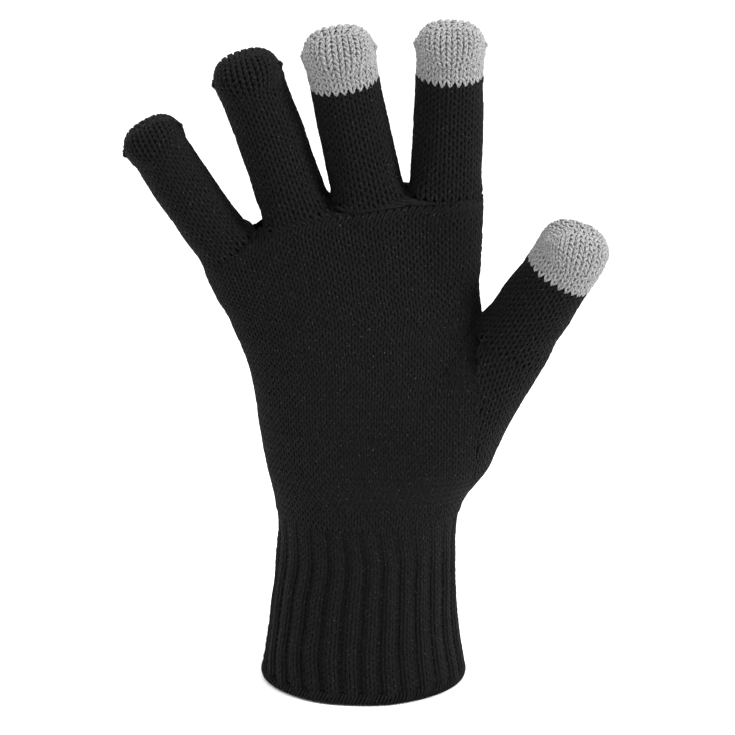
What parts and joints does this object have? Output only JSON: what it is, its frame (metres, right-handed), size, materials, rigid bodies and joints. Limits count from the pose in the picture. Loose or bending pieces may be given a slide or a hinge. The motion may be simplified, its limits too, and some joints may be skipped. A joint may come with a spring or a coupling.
{
  "type": "knitted touchscreen glove",
  "caption": "Seamless knitted glove in its worn shape, with a ribbed cuff, bending wrist and fingers, and grey conductive-yarn tips on thumb, index and middle finger.",
  "frame": {"origin": "centre of the cuff's mouth, on the plane of its rim", "axes": "+Z along the forearm and fingers, +X towards the thumb, -Y out of the palm"},
  "size_m": [0.154, 0.0532, 0.2232],
  "materials": {
    "body_knit": "matt black plain-knit acrylic yarn, slightly fuzzy",
    "rib_knit": "matt black 1x1 rib knit in acrylic yarn",
    "overlock_yarn": "black textured overlock thread",
    "elastic_thread": "black covered rubber thread",
    "conductive_knit": "grey melange conductive yarn, plain knit, faint metallic sheen",
    "conductive_yarn": "grey conductive yarn end, drawn tight",
    "closing_yarn": "black acrylic yarn end, drawn tight"
  },
  "bodies": {
    "cuff": {"cuff_overlock_edge": "overlock_yarn", "cuff_rib": "rib_knit", "cuff_elastic_threads": "elastic_thread", "wrist_sleeve": "body_knit"},
    "palm": {"palm_sleeve": "body_knit", "crotch_yarn_ends": "closing_yarn"},
    "index_base": {"index_lower_sleeve": "body_knit"},
    "index_middle": {"index_upper_sleeve": "body_knit"},
    "index_tip": {"index_touch_cap": "conductive_knit", "index_tip_yarn": "conductive_yarn"},
    "middle_base": {"middle_lower_sleeve": "body_knit"},
    "middle_middle": {"middle_upper_sleeve": "body_knit"},
    "middle_tip": {"middle_touch_cap": "conductive_knit", "middle_tip_yarn": "conductive_yarn"},
    "ring_base": {"ring_lower_sleeve": "body_knit"},
    "ring_middle": {"ring_upper_sleeve": "body_knit"},
    "ring_tip": {"ring_tip_cap": "body_knit", "ring_tip_yarn": "closing_yarn"},
    "little_base": {"little_lower_sleeve": "body_knit"},
    "little_middle": {"little_upper_sleeve": "body_knit"},
    "little_tip": {"little_tip_cap": "body_knit", "little_tip_yarn": "closing_yarn"},
    "thumb_base": {"thumb_sleeve": "body_knit"},
    "thumb_tip": {"thumb_touch_cap": "conductive_knit", "thumb_tip_yarn": "conductive_yarn"}
  },
  "joints": [
    {"name": "wrist_flex", "type": "hinge", "parent": "cuff", "child": "palm", "pos_m": [0, 0, 0.084], "axis": [1, 0, 0], "range_deg": [-45, 45]},
    {"name": "index_base_flex", "type": "hinge", "parent": "palm", "child": "index_base", "pos_m": [0.02463, -0.0007, 0.18088], "axis": [0.9998, 0, -0.0175], "range_deg": [-10, 60]},
    {"name": "index_middle_flex", "type": "hinge", "parent": "index_base", "child": "index_middle", "pos_m": [0.02492, -0.00157, 0.19745], "axis": [0.9998, 0, -0.0175], "range_deg": [-5, 65]},
    {"name": "index_tip_flex", "type": "hinge", "parent": "index_middle", "child": "index_tip", "pos_m": [0.02516, -0.00345, 0.21082], "axis": [0.9998, 0, -0.0175], "range_deg": [-3, 39]},
    {"name": "middle_base_flex", "type": "hinge", "parent": "palm", "child": "middle_base", "pos_m": [-0.00238, -0.0007, 0.17859], "axis": [0.9781, 0, 0.2079], "range_deg": [-10, 60]},
    {"name": "middle_middle_flex", "type": "hinge", "parent": "middle_base", "child": "middle_middle", "pos_m": [-0.00583, -0.00157, 0.1948], "axis": [0.9848, 0, 0.1736], "range_deg": [-5, 65]},
    {"name": "middle_tip_flex", "type": "hinge", "parent": "middle_middle", "child": "middle_tip", "pos_m": [-0.00815, -0.00345, 0.20797], "axis": [0.9903, 0, 0.1392], "range_deg": [-3, 39]},
    {"name": "ring_base_flex", "type": "hinge", "parent": "palm", "child": "ring_base", "pos_m": [-0.02627, -0.00069, 0.17304], "axis": [0.9511, 0, 0.309], "range_deg": [-10, 60]},
    {"name": "ring_middle_flex", "type": "hinge", "parent": "ring_base", "child": "ring_middle", "pos_m": [-0.0313, -0.00154, 0.18852], "axis": [0.9397, 0, 0.342], "range_deg": [-5, 65]},
    {"name": "ring_tip_flex", "type": "hinge", "parent": "ring_middle", "child": "ring_tip", "pos_m": [-0.03588, -0.00342, 0.20108], "axis": [0.9397, 0, 0.342], "range_deg": [-3, 39]},
    {"name": "little_base_flex", "type": "hinge", "parent": "palm", "child": "little_base", "pos_m": [-0.05017, -0.00062, 0.15903], "axis": [0.766, 0, 0.6428], "range_deg": [-10, 60]},
    {"name": "little_middle_flex", "type": "hinge", "parent": "little_base", "child": "little_middle", "pos_m": [-0.05942, -0.00137, 0.17004], "axis": [0.8192, 0, 0.5736], "range_deg": [-5, 65]},
    {"name": "little_tip_flex", "type": "hinge", "parent": "little_middle", "child": "little_tip", "pos_m": [-0.06635, -0.00307, 0.17994], "axis": [0.866, 0, 0.5], "range_deg": [-3, 39]},
    {"name": "thumb_base_flex", "type": "hinge", "parent": "palm", "child": "thumb_base", "pos_m": [0.054, -0.00733, 0.12891], "axis": [0.7141, 0.633, -0.2989], "range_deg": [-10, 50]},
    {"name": "thumb_tip_flex", "type": "hinge", "parent": "thumb_base", "child": "thumb_tip", "pos_m": [0.06368, -0.01064, 0.14503], "axis": [0.7454, 0.6237, -0.2354], "range_deg": [-5, 60]}
  ],
  "couplings": [
    {"joint": "index_tip_flex", "follows": "index_middle_flex", "ratio": 0.6},
    {"joint": "middle_tip_flex", "follows": "middle_middle_flex", "ratio": 0.6},
    {"joint": "ring_tip_flex", "follows": "ring_middle_flex", "ratio": 0.6},
    {"joint": "little_tip_flex", "follows": "little_middle_flex", "ratio": 0.6}
  ]
}
